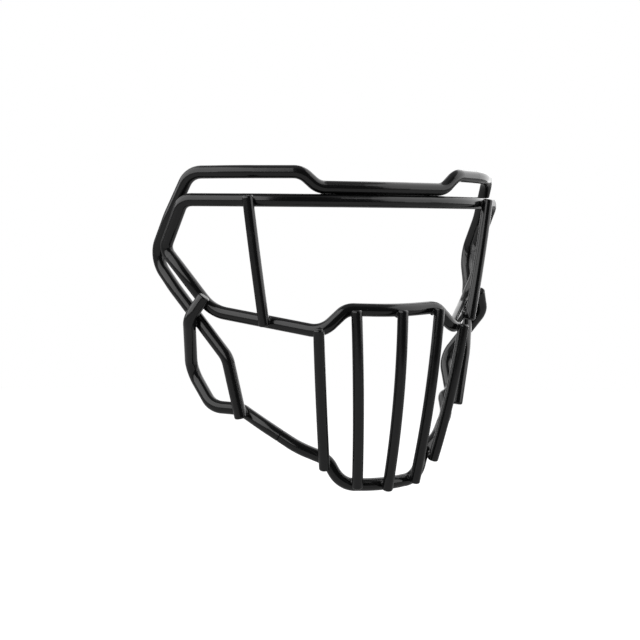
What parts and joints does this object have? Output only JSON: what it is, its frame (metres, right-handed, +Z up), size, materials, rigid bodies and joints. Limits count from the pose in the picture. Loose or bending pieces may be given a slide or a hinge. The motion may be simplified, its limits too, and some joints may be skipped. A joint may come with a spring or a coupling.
{
  "type": "football helmet facemask",
  "caption": "Welded steel wire facemask with a black coat: brow bar, wide eye opening, cheek and jaw wires, and a bowed grille in front of the mouth.",
  "frame": {"origin": "centre of the brow bar's wire at the middle of its dip, where the helmet's front bumper sits on it", "axes": "+X to the wearer's left, +Y back towards the helmet, +Z up along the wearer's head"},
  "size_m": [0.2258, 0.1018, 0.187],
  "materials": {
    "coat": "gloss black dipped coat"
  },
  "bodies": {
    "root": {"brow_bar": "coat", "eye_bar": "coat", "mid_bar": "coat", "upright_right": "coat", "upright_left": "coat", "jaw_wire_right": "coat", "jaw_wire_left": "coat", "chin_wire": "coat", "grille_bar_right_outer": "coat", "grille_bar_right_inner": "coat", "grille_bar_centre": "coat", "grille_bar_left_inner": "coat", "grille_bar_left_outer": "coat", "brow_seam_welds": "coat", "temple_leg_welds": "coat", "temple_butt_welds": "coat", "upright_top_welds": "coat", "upright_foot_welds": "coat", "jaw_top_welds": "coat", "jaw_crossing_welds": "coat", "jaw_foot_welds": "coat", "jaw_butt_welds": "coat", "grille_top_welds": "coat", "grille_foot_welds": "coat"}
  },
  "joints": []
}
